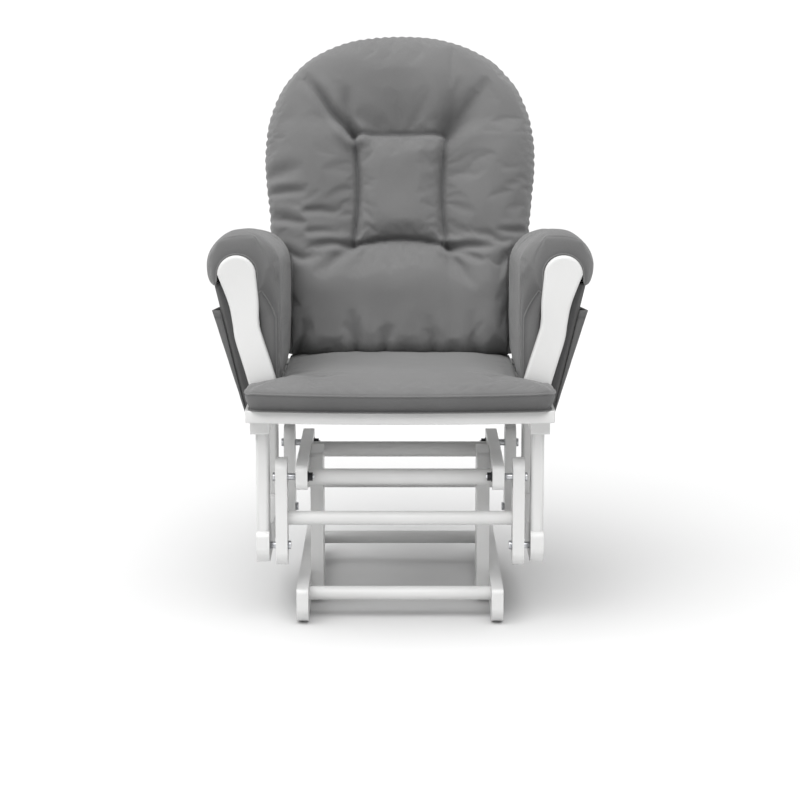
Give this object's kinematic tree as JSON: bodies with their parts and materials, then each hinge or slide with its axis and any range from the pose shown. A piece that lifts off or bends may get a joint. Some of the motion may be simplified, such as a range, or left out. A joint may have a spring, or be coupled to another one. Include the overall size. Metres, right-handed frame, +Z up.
{
  "type": "glider nursery chair",
  "caption": "Upright armchair with a padded hoop back, seat and arms that glides level on swing arms hung from a wooden base.",
  "frame": {"origin": "on the floor, at the middle of the chair's own bounding box", "axes": "+Z up, the chair faces -Y, +X to the right as seen by someone who looks at its front"},
  "size_m": [0.654, 0.7072, 0.99],
  "materials": {
    "white_wood": "satin white paint over solid wood",
    "grey_fabric": "matt, fine plain weave",
    "zinc_steel": "bright zinc plate",
    "black_steel": "black oxide, satin",
    "grey_plastic": "smooth, matt"
  },
  "bodies": {
    "base": {"runner_left": "white_wood", "runner_right": "white_wood", "upright_left": "white_wood", "upright_right": "white_wood", "beam_left": "white_wood", "beam_right": "white_wood", "upper_front_stretcher": "white_wood", "upper_rear_stretcher": "white_wood", "lower_front_stretcher": "white_wood", "lower_rear_stretcher": "white_wood", "floor_pads": "grey_plastic", "base_screws": "zinc_steel", "upper_pivot_bolts": "zinc_steel", "upper_pivot_nuts": "black_steel", "upper_pivot_sleeves": "zinc_steel", "upper_inner_rings": "zinc_steel"},
    "front_swing": {"front_swing_arm_left": "white_wood", "front_swing_arm_right": "white_wood", "front_swing_dowel": "white_wood", "front_bearings": "zinc_steel"},
    "rear_swing": {"rear_swing_arm_left": "white_wood", "rear_swing_arm_right": "white_wood", "rear_swing_dowel": "white_wood", "rear_bearings": "zinc_steel"},
    "seat": {"bottom_rail_left": "white_wood", "bottom_rail_right": "white_wood", "lower_pivot_bolts": "zinc_steel", "lower_pivot_inserts": "zinc_steel", "lower_pivot_sleeves": "zinc_steel", "lower_inner_rings": "zinc_steel", "front_post_left": "white_wood", "front_post_right": "white_wood", "rear_post_left": "white_wood", "rear_post_right": "white_wood", "side_rail_left": "white_wood", "side_rail_right": "white_wood", "seat_front_rail": "white_wood", "seat_rear_rail": "white_wood", "seat_side_board_left": "white_wood", "seat_side_board_right": "white_wood", "seat_slats": "white_wood", "seat_screws": "zinc_steel", "front_arm_support_left": "white_wood", "front_arm_support_right": "white_wood", "armrest_board_left": "white_wood", "armrest_board_right": "white_wood", "arm_screws": "zinc_steel", "back_hoop": "white_wood", "back_slats": "white_wood", "back_bottom_rail": "white_wood", "back_screws": "zinc_steel", "seat_cushion": "grey_fabric", "back_cushion": "grey_fabric", "arm_cushion_left": "grey_fabric", "arm_cushion_right": "grey_fabric", "arm_pocket_left": "grey_fabric", "arm_pocket_right": "grey_fabric"}
  },
  "joints": [
    {"name": "glide", "type": "hinge", "parent": "base", "child": "front_swing", "pos_m": [0, -0.25559, 0.2575], "axis": [1, 0, 0], "range_deg": [-25, 25]},
    {"name": "rear_swing_pivot", "type": "hinge", "parent": "base", "child": "rear_swing", "pos_m": [0, 0.02441, 0.2575], "axis": [1, 0, 0], "range_deg": [-25, 25]},
    {"name": "seat_pivot", "type": "hinge", "parent": "front_swing", "child": "seat", "pos_m": [0, -0.25559, 0.1365], "axis": [1, 0, 0], "range_deg": [-25, 25]}
  ],
  "couplings": [
    {"joint": "rear_swing_pivot", "follows": "glide", "ratio": 1},
    {"joint": "seat_pivot", "follows": "glide", "ratio": -1}
  ]
}
